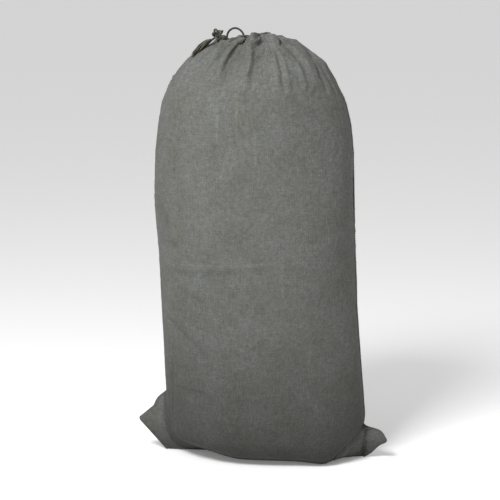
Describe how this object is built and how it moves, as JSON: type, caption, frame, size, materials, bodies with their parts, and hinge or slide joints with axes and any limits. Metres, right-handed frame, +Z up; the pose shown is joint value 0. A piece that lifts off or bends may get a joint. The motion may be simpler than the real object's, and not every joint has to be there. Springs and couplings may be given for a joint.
{
  "type": "laundry bag",
  "caption": "Tall filled cloth sack with a flat bottom seam, two corner ears, a gathered domed top and a knotted drawcord.",
  "frame": {"origin": "on the floor, midway between the tips of the two bottom ears and midway between front and back", "axes": "+Z up, +X to the right along the bottom seam, -Y towards the front panel"},
  "size_m": [0.46, 0.2744, 0.7961],
  "materials": {
    "cloth": "washed olive-grey cotton sheeting, matt",
    "seam_cloth": "felled edges of the same olive-grey cotton",
    "thread": "olive sewing thread",
    "cord": "dark olive braided cotton cord",
    "frayed_cord": "the same cord unravelled into loose yarns"
  },
  "bodies": {
    "bag": {"front_panel": "cloth", "back_panel": "cloth", "left_side_seam": "seam_cloth", "right_side_seam": "seam_cloth", "bottom_seam": "seam_cloth", "front_casing": "cloth", "back_casing": "cloth", "hem_stitching": "thread", "cord_buttonholes": "thread", "drawcord": "cord", "knot": "cord"},
    "cord_legs": {"drawcord_legs": "cord"},
    "cord_loop": {"drawcord_loop": "cord"},
    "cord_tail": {"cord_ends": "cord", "frayed_ends": "frayed_cord"}
  },
  "joints": [
    {"name": "loop_pull", "type": "slide", "parent": "bag", "child": "cord_legs", "axis": [0, 0, 1], "range_m": [0, 0.045]},
    {"name": "loop_tilt", "type": "hinge", "parent": "cord_legs", "child": "cord_loop", "pos_m": [-0.028, -0.051, 0.7768], "axis": [-0.8068, 0.5909, 0], "range_deg": [-60, 60]},
    {"name": "tail_lift", "type": "hinge", "parent": "bag", "child": "cord_tail", "pos_m": [-0.0889, -0.025, 0.7732], "axis": [0, 1, 0], "range_deg": [0, 70]}
  ]
}
